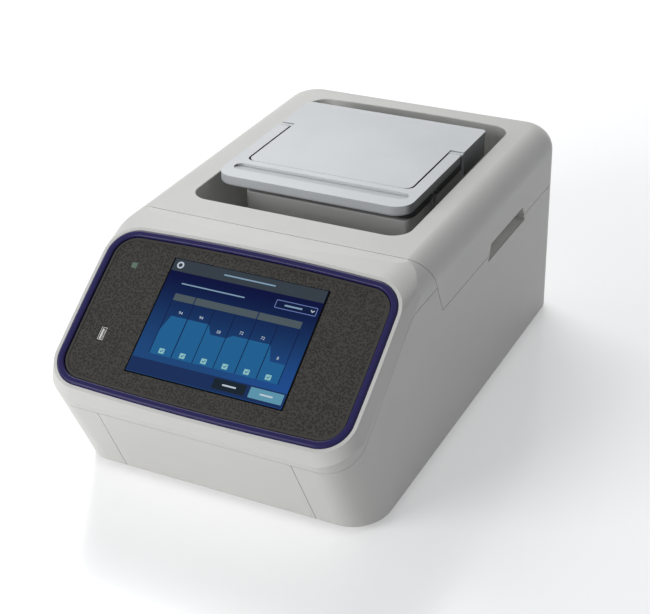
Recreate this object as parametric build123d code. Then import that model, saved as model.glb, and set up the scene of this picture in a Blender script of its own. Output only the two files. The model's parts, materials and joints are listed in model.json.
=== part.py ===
from build123d import *
import os
from math import cos, radians, sin, tan

# Bench thermal cycler, in millimetres, +Z up, the front towards -Y.
# While it is built, Y = 0 is the rear face and Z = 0 the underside of the housing.
# Every piece is moved at the end, so that the origin lies under the middle of the feet.

# Housing
rim_height = 214.7
wall = 3.0
seam_gap = 0.7
tongue = 1.4
shoulder_radius = 25.0
rear_corner_radius = 38.0
heel_radius = 14.0

# Sloping front: the lip is the sharp line between the control panel and the chin
lip_y = -549.0
lip_z = 106.5
chin_foot_y = -498.4
chin_corner_radius = 36.0
panel_tilt = 34.8
lip_depth = 20.0
lip_undercut = 5.0
brow_start_y = -366.0
brow_dip = 0.02

# Control panel, measured on its own slope, up from the lip
ring_side = 7.6
ring_low = 7.2
ring_high = 179.4
ring_corner = 30.0
ring_bow_top = 4.8
ring_bow_low = 3.3
ring_bow_side = 1.0
ring_width = 7.0
ring_groove = 0.8
ring_proud = 1.6
ring_depth = 8.0
lip_width = 3.6
panel_sink = 0.8
panel_thickness = 3.0
panel_rim = 2.6
field_sink = 0.4
screen_width = 164.0
screen_height = 121.6
screen_x = 1.7
screen_up = 95.8
glass_thickness = 1.6
status_x = -117.7
status_up = 139.6
status_size = 6.2
usb_x = -118.3
usb_up = 65.2
usb_length = 15.0
usb_width = 7.4
fit_gap = 0.3

# Partings of the housing, in the side view
parting_z = 151.6
cover_front_y = -369.3
cover_front_slope = 25.0
cover_tip_radius = 45.0
bezel_side_z = 182.0
bezel_bend_y = -410.0
bezel_slope = 37.4
bezel_chin_z = 84.0
bezel_bend_radius = 24.0

# Front access panel in the chin
access_top_half = 100.0
access_foot_half = 103.0
access_foot_y = -470.0

# Hand grips at the sides
grip_front_y = -222.0
grip_rear_y = -114.0
grip_rise = 11.0
grip_drop = 6.0
grip_depth = 20.0

# Bay in the top cover
bay_shelf = 43.4
cover_gap = 11.6
bay_front_y = -332.3
bay_rear_y = -41.0
bay_rear_bow = 4.0
bay_corner = 20.0
bay_wall = 2.4
bay_floor_z = 148.0
deck_thickness = 1.6

# Feet
foot_height = 7.0
foot_radius = 11.0
foot_inset = 42.0
foot_front_y = -455.0
foot_rear_y = -48.0

# Sample block module
module_inset = 3.0
module_front_y = -264.0
module_rear_y = -64.0
module_top_z = 196.0
module_wall = 3.0
module_corner = 5.0
block_y = -175.0
block_length = 116.0
block_depth = 79.0
block_top_z = 191.0
well_pitch = 9.0
well_columns = 12
well_rows = 8
well_top_radius = 3.1
well_depth = 15.0
well_taper = 9.0
peltier_size = 36.0
peltier_thickness = 3.6
sink_inset = 13.0
sink_length = 150.0
sink_base = 8.0
fin_height = 44.0
fin_pitch = 6.0
fin_thickness = 1.5

# Heated cover
cover_top_z = 227.8
handle_arm_width = 13.0
cover_rear_y = -89.0
cover_tip_y = -300.0
cover_corner = 19.0
plate_thickness = 4.0
plate_half_width = 90.0
handle_thickness = 10.7
handle_bar_y = -257.5
handle_slot = 2.0
handle_end_y = -161.0
handle_pivot_y = -166.0
handle_pivot_drop = 4.8
step_y = -152.8
step_width = 5.0
step_sink = 1.0
groove_half_length = 95.5
groove_y = -274.5
groove_width = 15.0
groove_depth = 3.0
skirt_thickness = 3.0
latch_room = 8.0
frame_front_y = -262.0
frame_rear_y = -96.0
frame_low_z = 197.5
hinge_y = -81.0
hinge_z = 206.0
hinge_pin_radius = 3.0
hinge_x = 62.0
knuckle_width = 12.0
pivot_pin_radius = 2.5
running_gap = 0.05
platen_length = 112.0
platen_depth = 76.0
platen_low_z = 193.5
platen_thickness = 9.0
spring_radius = 4.0
spring_wire = 1.0
spring_turns = 3.5
spring_x = 40.0
spring_dy = 24.0
latch_gap = 3.2
latch_thickness = 3.0
latch_y = -215.0
latch_z = 208.5

# Rear panel
rear_panel_inset = 44.0
rear_panel_low = 20.0
rear_panel_high = 140.0
rear_panel_thickness = 1.6
socket_plate_high = 52.0
fan_size = 80.0
fan_depth = 25.0
fan_x = 46.0
fan_z = 97.0
fan_hub_radius = 17.0
fan_tip_gap = 1.2
blade_count = 7
inlet_inset = 32.0
inlet_z = 34.0
inlet_width = 28.0
inlet_height = 21.0
switch_step = 40.0
rocker_width = 12.0
rocker_height = 20.0
port_x = 60.0

# Smaller fits and sheet sizes
sheet = 1.5
rim_fillet = 1.2
foot_stem_radius = 3.0
filter_gap = 8.0
filter_thickness = 8.0
filter_side_gap = 6.0
filter_height = 64.0
filter_up = 46.0
display_thickness = 6.0
chassis_front_y = -452.0
chassis_rear_y = -26.0
window_gap = 1.2
catch_radius = 2.2
catch_y = -205.0
catch_z = 188.0
seal_thickness = 3.0
duct_sheet = 1.5
fan_hole = 35.75
shaft_radius = 1.5
slot_pitch = 6.5
slot_height = 3.4
trunnion_radius = 1.5
rocker_swing = 12.0
rocker_y = -4.2
joint_gap = 0.5
skirt_low_z = 201.0
frame_drop = 8.0
platen_gap = 1.5
latch_pin_radius = 2.0
knuckle_radius = 5.5
lug_width = 10.0
pin_seat = 0.02
groove_tilt = 11.0
post_radius = 2.6

# Power supply and main board on the tray
chassis_gap = 6.0
supply_gap = 33.0
supply_width = 94.0
supply_front_y = -236.0
supply_length = 170.0
supply_height = 40.0
supply_sheet = 1.2
board_width = 112.0
board_front_y = -250.0
board_length = 174.0

cover_half_width = plate_half_width + handle_slot + handle_arm_width
bay_half_width = cover_half_width + cover_gap
body_half = bay_half_width + bay_shelf
ring_half_width = body_half - ring_side
foot_x = body_half - foot_inset
frame_half_width = cover_half_width - skirt_thickness - latch_room
latch_x = frame_half_width + latch_gap
module_half_width = frame_half_width - module_inset
sink_half_width = module_half_width - sink_inset
rear_panel_half = body_half - rear_panel_inset
inlet_x = inlet_inset - rear_panel_half
switch_x = inlet_x + switch_step
filter_length = 2 * (access_top_half - filter_side_gap)
chassis_half = body_half - wall - chassis_gap
supply_left = supply_gap - chassis_half
supply_right = supply_left + supply_width
supply_rear_y = supply_front_y + supply_length
board_right = chassis_half - supply_gap
board_left = board_right - board_width
board_rear_y = board_front_y + board_length
sink_top_z = bay_floor_z + 2.0 + sink_base
sink_front_y = block_y - sink_length / 2
handle_pivot_z = cover_top_z - handle_pivot_drop
glass_sink = panel_sink + field_sink + 0.1
bracket_depth = glass_sink + glass_thickness + display_thickness + fit_gap / 2
slope = radians(panel_tilt)
slope_up = Vector(0, cos(slope), sin(slope))
slope_out = Vector(0, -sin(slope), cos(slope))
panel_plane = Plane(origin=(0, lip_y, lip_z), x_dir=(1, 0, 0), z_dir=slope_out)
far = 4 * body_half


def side_prism(points, half=far):
    """Prism across the body from a closed outline in the side view, as (Y, Z) points."""
    outline = make_face(Polyline(*points, close=True))
    return extrude(Plane.YZ * outline, amount=half, both=True)


def box_between(x0, x1, y0, y1, z0, z1):
    """Box between two corners."""
    size = Box(x1 - x0, y1 - y0, z1 - z0)
    return Pos((x0 + x1) / 2, (y0 + y1) / 2, (z0 + z1) / 2) * size


def rod_x(radius, x0, x1, y, z):
    """Round bar along X."""
    bar = Cylinder(radius, x1 - x0)
    return Pos((x0 + x1) / 2, y, z) * Rot(0, 90, 0) * bar


def rod_y(radius, y0, y1, x, z):
    """Round bar along Y."""
    return Pos(x, (y0 + y1) / 2, z) * Rot(90, 0, 0) * Cylinder(radius, y1 - y0)


def rod_z(radius, z0, z1, x, y):
    """Round bar along Z."""
    return Pos(x, y, (z0 + z1) / 2) * Cylinder(radius, z1 - z0)


def rounded_block(x0, x1, y0, y1, z0, z1, radius):
    """Block with rounded upright corners."""
    outline = Pos((x0 + x1) / 2, (y0 + y1) / 2, z0) * RectangleRounded(x1 - x0, y1 - y0, radius)
    return extrude(outline, amount=z1 - z0)


def chin_y(height):
    """Y of the chin's face at a height."""
    return chin_foot_y + (lip_y - chin_foot_y) * height / lip_z


def body_volume(inset=0.0):
    """Whole outside of the housing as one block, drawn in by an inset on every face."""
    half = body_half - inset
    top = rim_height - inset
    length = -lip_y + 80
    plan = Pos(0, -inset - length / 2, inset) * Rectangle(2 * half, length)
    block = extrude(plan, amount=top - inset)
    corners = block.edges().filter_by(Axis.Z).group_by(Axis.Y)[-1]
    block = fillet(corners, rear_corner_radius - inset)
    rim = block.faces().sort_by(Axis.Z)[-1].edges()
    front_edge = rim.sort_by(Axis.Y)[0]
    block = fillet(rim - [front_edge], shoulder_radius - inset)
    brow_y = lip_y + (rim_height - lip_z) / tan(slope)
    face_line = [(lip_y, lip_z), (brow_y + 60 / tan(slope), rim_height + 60)]
    profile = face_line + [(60, rim_height + 60), (60, -60), (chin_y(-60), -60)]
    outline = offset(make_face(Polyline(*profile, close=True)), -inset, kind=Kind.INTERSECTION)
    block &= extrude(Plane.YZ * outline, amount=far, both=True)
    block &= chin_sleeve(inset)
    block &= heel_sleeve(inset)
    block &= lip_flare(inset)
    block -= brow_cut(inset)
    return block


def chin_sleeve(inset):
    """Prism along the chin's slope that rounds the two front corners."""
    along = Vector(0, lip_y - chin_foot_y, lip_z).normalized()
    base = Plane(origin=(0, chin_foot_y, 0), x_dir=(1, 0, 0), z_dir=along)
    depth = far
    half = body_half - inset
    radius = chin_corner_radius - inset
    with BuildSketch() as sketch:
        with Locations((0, depth / 2 + inset)):
            Rectangle(2 * half, depth)
        fillet(sketch.vertices().group_by(Axis.Y)[0], radius)
    return extrude(base * sketch.sketch, amount=far, both=True)


def heel_sleeve(inset):
    """Prism across the body that rounds its lower rear edge."""
    depth = 2 * far
    low = Rectangle(depth, depth)
    outline = fillet(low.vertices().group_by(Axis.X)[-1].group_by(Axis.Y)[:1], heel_radius - inset)
    return extrude(Plane.YZ * Pos(-depth / 2 - inset, depth / 2 + inset) * outline, amount=far, both=True)


ring_middle = (ring_low + ring_high) / 2


def ring_sketch(shrink=0.0):
    """Outline of the ring with its gently bowed sides, drawn in by an amount."""
    half = ring_half_width - shrink
    top = ring_high - ring_middle - shrink
    across = (half / ring_half_width) ** 2
    upright = (top / (ring_high - ring_middle)) ** 2
    x = half - ring_bow_side * upright
    high = top - ring_bow_top * across
    low = ring_bow_low * across - top
    sides = ThreePointArc((-x, high), (0, top), (x, high))
    sides += ThreePointArc((x, high), (half, 0), (x, low))
    sides += ThreePointArc((x, low), (0, -top), (-x, low))
    sides += ThreePointArc((-x, low), (-half, 0), (-x, high))
    return fillet(make_face(sides).vertices(), ring_corner - shrink)


def lip_flare(inset):
    """Flared block that starts at the lip round the ring and widens to the whole body."""
    near = Pos(0, ring_middle) * ring_sketch(inset - lip_width)
    width = 2 * (body_half + 0.5 - inset)
    low = inset - lip_undercut
    high = ring_high + lip_width + lip_depth / tan(slope) + 16 - inset
    deep = Pos(0, (low + high) / 2) * RectangleRounded(width, high - low, ring_corner - 2)
    floor = panel_plane.offset(-inset - lip_depth)
    sides = loft([panel_plane.offset(-inset) * near, floor * deep])
    behind = extrude(floor * Rectangle(4 * far, 4 * far), amount=-4 * far)
    return sides + behind


def brow_cut(inset):
    """Waste above the brow, where the top falls away gently from the seam to the ring."""
    end_up = ring_high + lip_width
    end = Vector(0, lip_y, lip_z) + slope_up * end_up
    start = (brow_start_y, rim_height - inset)
    stop = (end.Y, end.Z - inset)
    lead = (start[0] + 10, start[1] + 10 * brow_dip)
    curve = Line(lead, start) + TangentArc(start, stop, tangent=(-1, -brow_dip))
    rest = Polyline(stop, (stop[0] - 60, stop[1]), (stop[0] - 60, rim_height + 40),
                    (lead[0], rim_height + 40), lead)
    return extrude(Plane.YZ * make_face(curve + rest), amount=far, both=True)


def on_panel(sketch, up, depth, thickness, x=0.0):
    """Slab on the control panel's slope: its top lies at a depth below the lip's plane."""
    top = panel_plane.offset(-depth)
    return extrude(top * (Pos(x, up) * sketch), amount=-thickness)


def cover_region(gap):
    """Side view region of the top cover, above the parting and behind the brow."""
    run = tan(radians(cover_front_slope))
    corner_y = cover_front_y + (rim_height - parting_z) * run
    high = rim_height + 40
    line = Polyline((60, parting_z + gap), (corner_y + gap, parting_z + gap),
                    (corner_y + gap - (high - parting_z) * run, high), (60, high), close=True)
    face = make_face(line)
    tip = face.vertices().sort_by(Axis.Y)[:2].sort_by(Axis.X)[1]
    face = fillet(tip, cover_tip_radius)
    return extrude(Plane.YZ * face, amount=far, both=True)


def bezel_region(gap):
    """Side view region of the front bezel, above its seam on the sides and the chin."""
    fall = tan(radians(bezel_slope))
    foot_y = bezel_bend_y - (bezel_side_z - bezel_chin_z) / fall
    outline = Polyline((60, bezel_side_z + gap), (bezel_bend_y, bezel_side_z + gap),
                       (foot_y, bezel_chin_z + gap), (lip_y - 60, bezel_chin_z + gap),
                       (lip_y - 60, rim_height + 40), (60, rim_height + 40), close=True)
    face = make_face(outline)
    bends = face.vertices().filter_by(lambda v: bezel_bend_y - 0.1 < v.X < bezel_bend_y + 0.1)
    toes = face.vertices().filter_by(lambda v: foot_y - 0.1 < v.X < foot_y + 0.1)
    face = fillet(bends + toes, bezel_bend_radius)
    return extrude(Plane.YZ * face, amount=far, both=True) - cover_region(-gap)


def bay_prism(grow, low, high):
    """Upright prism of the bay's outline, let out by an amount."""
    half = bay_half_width + grow
    front = bay_front_y - grow
    rear = bay_rear_y + grow
    side_rear = rear - bay_rear_bow
    back = ThreePointArc((half, side_rear), (0, rear), (-half, side_rear))
    sides = Polyline((-half, side_rear), (-half, front), (half, front), (half, side_rear))
    face = fillet(make_face(back + sides).vertices(), bay_corner + grow)
    return extrude(Pos(0, 0, low) * face, amount=high - low)


def grip_scoop(side, grow=0.0):
    """Scoop of a hand grip: a pocket that runs in and up behind the top cover's edge."""
    low = parting_z - grip_drop - grow
    high = parting_z + grip_rise + grow
    deep = body_half - grip_depth - grow
    section = make_face(Polyline((body_half + 5, low - 1), (body_half - 2, low), (deep, low + 7),
                                 (deep, high), (body_half + 5, high), close=True))
    section = fillet(section.vertices().group_by(Axis.X)[0], 3.0)
    scoop = extrude(Plane.XZ * section, amount=far)
    slant = 8.0
    scoop &= side_prism([(grip_rear_y + grow, low - 1.5), (grip_rear_y - slant + grow, high),
                         (grip_front_y + slant - grow, high), (grip_front_y - grow, low - 1.5)])
    return scoop if side > 0 else mirror(scoop, Plane.YZ)


def access_zone(gap):
    """Front view region of the access panel in the chin, let out by a gap."""
    top = access_top_half + gap
    foot = access_foot_half + gap
    face = make_face(Polyline((-foot, -5), (-top, bezel_chin_z + 20), (top, bezel_chin_z + 20),
                              (foot, -5), close=True))
    zone = extrude(Plane.XZ.offset(-access_foot_y - gap) * face, amount=far)
    return zone


outer = body_volume()
inner = body_volume(wall)
shell = outer - inner
half_seam = seam_gap / 2
cover_zone = cover_region(half_seam)
cover_zone_wide = cover_region(-half_seam)
bezel_zone = bezel_region(half_seam)
bezel_zone_wide = bezel_region(-half_seam)


def make_top_cover():
    """Upper housing with the bay's walls and the raised edges over the hand grips."""
    cover = shell & cover_zone
    cover += bay_prism(bay_wall, bay_floor_z, rim_height - wall / 2) & outer
    cover -= bay_prism(0, bay_floor_z - 1, rim_height + 1)
    rim = cover.faces().filter_by(Plane.XY).sort_by(Axis.Z)[-1].inner_wires()[0]
    cover = fillet(rim.edges(), rim_fillet)
    for side in (1, -1):
        cover -= grip_scoop(side, fit_gap)
    return cover


def make_lower_housing():
    """Lower housing: side walls, chin, floor, hand grip pockets and the rear opening."""
    body = shell - cover_zone_wide - bezel_zone_wide
    root_top = parting_z - half_seam
    inside = body_volume(wall + tongue)
    tongue_front = cover_front_y + 70
    band = body_volume(wall + fit_gap / 2) - inside
    body += band & box_between(-far, far, tongue_front, 60, parting_z - 5, parting_z + 3.5)
    root = body_volume(wall - 0.5) - inside
    body += root & box_between(-far, far, tongue_front, 60, parting_z - 5, root_top)
    for side in (1, -1):
        pocket = grip_scoop(side, wall * 0.8)
        low_half = body_half - 1.0
        high_half = body_half - wall - fit_gap
        room = box_between(-low_half, low_half, -far, 60, 0, root_top)
        room += box_between(-high_half, high_half, -far, 60, 0, rim_height)
        body += pocket & room
        body -= grip_scoop(side)
    body -= access_zone(half_seam)
    body -= box_between(-rear_panel_half, rear_panel_half, -wall - 2, 5, rear_panel_low, rear_panel_high)
    for x, y in foot_places():
        body += rod_z(foot_radius * 0.8, wall / 2, wall + 1.0, x, y)
        body -= rod_z(foot_stem_radius + fit_gap / 2, -1, wall + 2, x, y)
    return body


def foot_places():
    """X and Y of the four feet."""
    return [(side * foot_x, y) for y in (foot_front_y, foot_rear_y) for side in (1, -1)]


def make_feet():
    """Four rubber feet with stems pushed through the floor."""
    feet = []
    for x, y in foot_places():
        foot = rod_z(foot_radius, -foot_height, 0, x, y)
        foot = chamfer(foot.edges().sort_by(Axis.Z)[0], 1.2)
        feet.append(foot + rod_z(foot_stem_radius, -1, wall + 1.0, x, y))
    return feet


def make_access_panel():
    """Removable panel in the chin, in front of the air filter."""
    panel = (shell & access_zone(-half_seam)) - bezel_zone_wide
    plane = chin_plane()
    for side in (1, -1):
        panel += extrude(plane.offset(-wall + 0.5) * (Pos(side * 70, 30) * Rectangle(12, 8)), amount=-5.5)
    return panel


def chin_plane():
    """Plane of the chin's face, its origin at the foot, local +Y up the chin."""
    up = Vector(0, lip_y - chin_foot_y, lip_z).normalized()
    out = Vector(0, -up.Z, up.Y)
    return Plane(origin=(0, chin_foot_y, 0), x_dir=(1, 0, 0), z_dir=out)


def make_filter_frame():
    """Frame of the air filter behind the access panel, with a grid of bars."""
    base = chin_plane().offset(-wall - filter_gap)
    outline = Pos(0, filter_up) * (Rectangle(filter_length, filter_height)
                                   - Rectangle(filter_length - 12, filter_height - 12))
    frame = extrude(base * outline, amount=-filter_thickness - 2)
    back = base.offset(-filter_thickness)
    for i in range(-3, 4):
        frame += extrude(back * (Pos(i * 24, filter_up) * Rectangle(2, filter_height - 6)), amount=-2)
    return frame


def make_filter():
    """Foam pad of the air filter."""
    base = chin_plane().offset(-wall - filter_gap)
    pad = Pos(0, filter_up) * Rectangle(filter_length - 12 - fit_gap, filter_height - 12 - fit_gap)
    return extrude(base * pad, amount=-filter_thickness)


def make_bezel():
    """Front bezel: brow, cheeks, chin strip and the ledge that the ring and panel sit on."""
    bezel = shell & bezel_zone
    seat = on_panel(ring_sketch(-2.6), ring_middle, 1.0, ring_depth + 1.6)
    bezel += seat & outer
    bezel -= on_panel(ring_sketch(-fit_gap), ring_middle, -12, ring_depth + 12)
    bezel -= on_panel(ring_sketch(ring_width + ring_groove + 3.6), ring_middle, 0, 30)
    return bezel


def make_ring():
    """Raised ring round the control panel, with a rounded crown."""
    ring = on_panel(ring_sketch(0), ring_middle, -ring_proud, ring_proud + ring_depth)
    ring -= on_panel(ring_sketch(ring_width), ring_middle, -20, 60)
    crown = ring.faces().sort_by(Axis(origin=(0, 0, 0), direction=tuple(slope_out)))[-1]
    outside = crown.outer_wire().edges()
    ring = fillet(outside, ring_proud + 1.2)
    inside = ring.faces().sort_by(Axis(origin=(0, 0, 0), direction=tuple(slope_out)))[-1]
    return fillet(inside.inner_wires()[0].edges(), ring_proud + 0.4)


def make_control_panel():
    """Front fascia with its screen window, light and socket cut-outs, and screw bosses."""
    edge = ring_width + ring_groove
    panel = on_panel(ring_sketch(edge), ring_middle, panel_sink, ring_depth - panel_sink)
    panel -= on_panel(ring_sketch(edge + 4), ring_middle, panel_sink + panel_thickness, 20)
    panel -= on_panel(ring_sketch(edge + panel_rim), ring_middle, panel_sink - 1, 1 + field_sink)
    for x, up in boss_places():
        depth = panel_sink + panel_thickness
        panel += on_panel(Circle(4.0), up, depth - 0.5, bracket_depth - depth + 0.5, x)
        panel -= on_panel(Circle(1.3), up, depth + 0.8, 20, x)
    window = Rectangle(screen_width, screen_height)
    panel -= on_panel(window, screen_up, -1, 20, screen_x)
    panel -= on_panel(Rectangle(status_size, status_size), status_up, -1, 20, status_x)
    socket = RectangleRounded(usb_width, usb_length, 1.2)
    panel -= on_panel(socket, usb_up, -1, 20, usb_x)
    return panel


def boss_places():
    """Places of the fascia's screw bosses, across and up its slope."""
    return [(screen_x + sx * (screen_width / 2 + 9), screen_up + sy * (screen_height / 2 - 8))
            for sx in (1, -1) for sy in (1, -1)]


def make_glass():
    """Touch glass set flush in the fascia's window."""
    pane = Rectangle(screen_width - fit_gap, screen_height - fit_gap)
    return on_panel(pane, screen_up, glass_sink, glass_thickness, screen_x)


def make_display():
    """Display module behind the glass."""
    depth = glass_sink + glass_thickness
    body = on_panel(Rectangle(screen_width - 2, screen_height - 2), screen_up, depth, display_thickness,
                    screen_x)
    return body


def make_bracket():
    """Sheet bracket that clamps the display against the fascia."""
    wide = screen_width + 30
    plate = Rectangle(wide, screen_height - 2) - Rectangle(screen_width - 30, screen_height - 40)
    bracket = on_panel(plate, screen_up, bracket_depth, sheet, screen_x)
    for x, up in boss_places():
        bracket -= on_panel(Circle(1.7), up, bracket_depth - 1, 4, x)
    return bracket


def make_panel_screws():
    """Four screws that hold the bracket to the fascia's bosses."""
    screws = []
    for x, up in boss_places():
        seat = panel_plane.offset(-bracket_depth - sheet - 1.8).location
        screws.append(seat * Pos(x, up, 0) * screw(2.9, 1.8, 1.25, 5.5))
    return screws


def make_control_board():
    """Interface board behind the display."""
    board = on_panel(Rectangle(150, 96), screen_up, bracket_depth + sheet + 6, 1.6, screen_x)
    for sx in (1, -1):
        for sy in (1, -1):
            board += on_panel(Circle(2.6), screen_up + sy * 44, bracket_depth + sheet, 6, screen_x + sx * 70)
    chips = [(-40, 12, 26, 20), (10, -15, 18, 18), (48, 20, 12, 30)]
    for x, up, w, h in chips:
        board += on_panel(Rectangle(w, h), screen_up + up, bracket_depth + sheet + 7.6, 3, screen_x + x)
    return board


def make_status_light():
    """Light pipe in the fascia."""
    side = status_size - fit_gap
    pipe = on_panel(Rectangle(side, side), status_up, glass_sink, panel_thickness + 2, status_x)
    return pipe + on_panel(Rectangle(side + 4, side + 4), status_up, panel_sink + panel_thickness, 2.2,
                           status_x)


def make_usb_shell():
    """Metal shell of the front memory stick socket, with its carrier behind the fascia."""
    width = usb_width - 1.5
    length = usb_length - 1.8
    depth = glass_sink + 0.1
    can = on_panel(Rectangle(width, length), usb_up, depth, 16, usb_x)
    can -= on_panel(Rectangle(width - 0.8, length - 0.8), usb_up, depth - 1, 16, usb_x)
    return can


def make_usb_tongue():
    """Plastic tongue and carrier of the front socket."""
    width = usb_width - 2.4
    length = usb_length - 2.7
    floor = on_panel(Rectangle(width - fit_gap, length), usb_up, panel_sink + 12.4, 3, usb_x)
    blade = on_panel(Rectangle(1.8, length - 1.6), usb_up, panel_sink + 1.6, 11, usb_x - width / 4)
    return floor + blade


def make_usb_carrier():
    """Plastic block behind the fascia that holds the front socket."""
    top = panel_sink + panel_thickness
    block = on_panel(Rectangle(usb_width + 8, usb_length + 8), usb_up, top, 12, usb_x)
    hole = Rectangle(usb_width - 1.5, usb_length - 1.8)
    return block - on_panel(hole, usb_up, top - 1, 20, usb_x)


def make_chassis():
    """Folded sheet tray on the floor of the lower housing."""
    half = chassis_half
    tray = box_between(-half, half, chassis_front_y, chassis_rear_y, wall, wall + sheet)
    for side in (1, -1):
        x0, x1 = sorted((side * half, side * (half - sheet)))
        tray += box_between(x0, x1, chassis_front_y, chassis_rear_y - 30, wall, wall + 18)
    for x, y in foot_places():
        tray -= rod_z(foot_radius + 2, 0, 40, x, y)
    slots = [(x, y) for x in (-90, -45, 45, 90) for y in (-400, -360, -320)]
    for x, y in slots:
        tray -= Pos(x, y, wall) * Box(30, 5, 10)
    return tray


def make_deck():
    """Folded sheet bridge that carries the sample block module over the duct."""
    half = bay_half_width + bay_wall + 5
    front = bay_front_y - bay_wall - 3
    rear = bay_rear_y + bay_wall + 2
    deck = box_between(-half, half, front, rear, bay_floor_z - deck_thickness, bay_floor_z)
    for side in (1, -1):
        x0, x1 = sorted((side * half, side * (half - deck_thickness)))
        deck += box_between(x0, x1, front, bay_rear_y - 12, wall + sheet, bay_floor_z)
    opening = sink_half_width + 3
    deck -= box_between(-opening, opening, sink_front_y - 4, sink_front_y + sink_length + 4, 60, 200)
    for side in (1, -1):
        for y in (-290, -230, -170, -110):
            deck -= Pos(side * half, y, 70) * Box(20, 36, 60)
    return deck


def make_module_housing():
    """Grey housing of the sample block module, open below, with a window for the block."""
    low = bay_floor_z
    housing = rounded_block(-module_half_width, module_half_width, module_front_y, module_rear_y, low,
                            module_top_z, module_corner)
    top_edges = housing.faces().sort_by(Axis.Z)[-1].edges()
    housing = fillet(top_edges, 1.2)
    t = module_wall
    housing -= rounded_block(-module_half_width + t, module_half_width - t, module_front_y + t,
                             module_rear_y - t, low - 1, module_top_z - t, module_corner - t)
    x = block_length / 2 + window_gap
    y = block_depth / 2 + window_gap
    housing -= box_between(-x, x, block_y - y, block_y + y, low, module_top_z + 1)
    for bx, by in module_bosses():
        housing += rod_z(5, sink_top_z, module_top_z - 1, bx, by)
        housing -= rod_z(1.3, sink_top_z - 1, module_top_z - 6, bx, by)
    for side in (1, -1):
        x0, x1 = sorted((side * (module_half_width - 1), side * (latch_x + latch_thickness / 2 + 0.6)))
        housing += rod_x(catch_radius, x0, x1, catch_y, catch_z)
    return housing


def module_bosses():
    """X and Y of the screw bosses in the module housing."""
    x = module_half_width - module_wall - 6.5
    return [(sx * x, y) for sx in (1, -1) for y in (module_front_y + 14, module_rear_y - 14)]


def make_heat_sink():
    """Finned aluminium heat sink under the block, its base closing the module housing."""
    g = module_wall + fit_gap
    x = module_half_width - g
    sink = rounded_block(-x, x, module_front_y + g, module_rear_y - g, sink_top_z - sink_base, sink_top_z,
                         module_corner - g)
    count = int(2 * sink_half_width / fin_pitch) + 1
    fin_low = sink_top_z - sink_base - fin_height
    for i in range(count):
        fx = (i - (count - 1) / 2) * fin_pitch
        sink += box_between(fx - fin_thickness / 2, fx + fin_thickness / 2, sink_front_y,
                            sink_front_y + sink_length, fin_low, sink_top_z - sink_base / 2)
    for bx, by in module_bosses():
        sink -= rod_z(1.7, sink_top_z - sink_base - 1, sink_top_z + 1, bx, by)
    return sink


def screw(head_radius, head_height, shank_radius, shank_length):
    """Cheese head screw that stands on the XY plane, its shank along +Z."""
    head = extrude(RegularPolygon(head_radius, 12), amount=head_height)
    shank = extrude(Pos(0, 0, head_height - 0.2) * RegularPolygon(shank_radius, 8), amount=shank_length)
    return head + shank


def make_module_screws():
    """Four screws that hold the heat sink in the module housing."""
    screws = []
    low = sink_top_z - sink_base
    for bx, by in module_bosses():
        head = Pos(bx, by, low - 1.8) * screw(2.9, 1.8, 1.25, sink_top_z + 12 - low)
        screws.append(head)
    return screws


def make_peltiers():
    """Six thermoelectric modules between heat sink and block."""
    dx = block_length / 3
    dy = block_depth / 2
    return [box_between(x - peltier_size / 2, x + peltier_size / 2, y - peltier_size / 2,
                        y + peltier_size / 2, sink_top_z, sink_top_z + peltier_thickness)
            for x in (-dx, 0, dx) for y in (block_y - dy / 2, block_y + dy / 2)]


def well_places():
    """X and Y of the wells, from the middle of the block."""
    x0 = (well_columns - 1) / 2
    y0 = (well_rows - 1) / 2
    return [((i - x0) * well_pitch, (j - y0) * well_pitch)
            for i in range(well_columns) for j in range(well_rows)]


def make_sample_block():
    """Sample block with a grid of tapered wells."""
    low = sink_top_z + peltier_thickness
    x = block_length / 2
    y = block_depth / 2
    block = box_between(-x, x, block_y - y, block_y + y, low, low + 10)
    ix = (well_columns * well_pitch) / 2 + 1.5
    iy = (well_rows * well_pitch) / 2 + 1.5
    block += box_between(-ix, ix, block_y - iy, block_y + iy, low + 5, block_top_z)
    foot_radius_in = well_top_radius - well_depth * tan(radians(well_taper))
    top = Plane.XY.offset(block_top_z) * RegularPolygon(well_top_radius, 8)
    foot = Plane.XY.offset(block_top_z - well_depth) * RegularPolygon(foot_radius_in, 8)
    well = loft([foot, top], ruled=True)
    return block - [Pos(px, block_y + py, 0) * well for px, py in well_places()]


def make_block_seal():
    """Rubber seal between the block and the window of the module housing."""
    x = block_length / 2 + 5
    y = block_depth / 2 + 5
    high = module_top_z - module_wall
    ix = (well_columns * well_pitch) / 2 + 1.5 + fit_gap / 2
    iy = (well_rows * well_pitch) / 2 + 1.5 + fit_gap / 2
    seal = box_between(-x, x, block_y - y, block_y + y, high - seal_thickness, high)
    return seal - box_between(-ix, ix, block_y - iy, block_y + iy, high - 20, high + 1)


def make_module_plug():
    """Connector of the module at its rear wall."""
    plug = box_between(-34, 34, module_rear_y, module_rear_y + 7, bay_floor_z + 3, bay_floor_z + 17)
    return plug - box_between(-30, 30, module_rear_y + 2, module_rear_y + 8, bay_floor_z + 6,
                              bay_floor_z + 14)


def make_duct():
    """Air duct from the filter side, under the fins, to the fans."""
    half = 2 * fan_x + 1 - 4
    front = sink_front_y - 8
    rear = -wall - rear_panel_thickness - fan_depth - 1
    low = fan_z - fan_size / 2
    knee = sink_front_y + sink_length
    fin_low = sink_top_z - sink_base - fin_height
    top = bay_floor_z - deck_thickness
    outside = side_prism([(front, fin_low - 2 - duct_sheet), (knee, fin_low - 2 - duct_sheet),
                          (rear, low), (rear, top), (front, top)], half)
    inside = side_prism([(front - 1, fin_low - 2), (knee, fin_low - 2), (rear, low + duct_sheet),
                         (rear + 1, low + duct_sheet), (rear + 1, top + 1), (front - 1, top + 1)],
                        half - duct_sheet)
    return outside - inside


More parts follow.
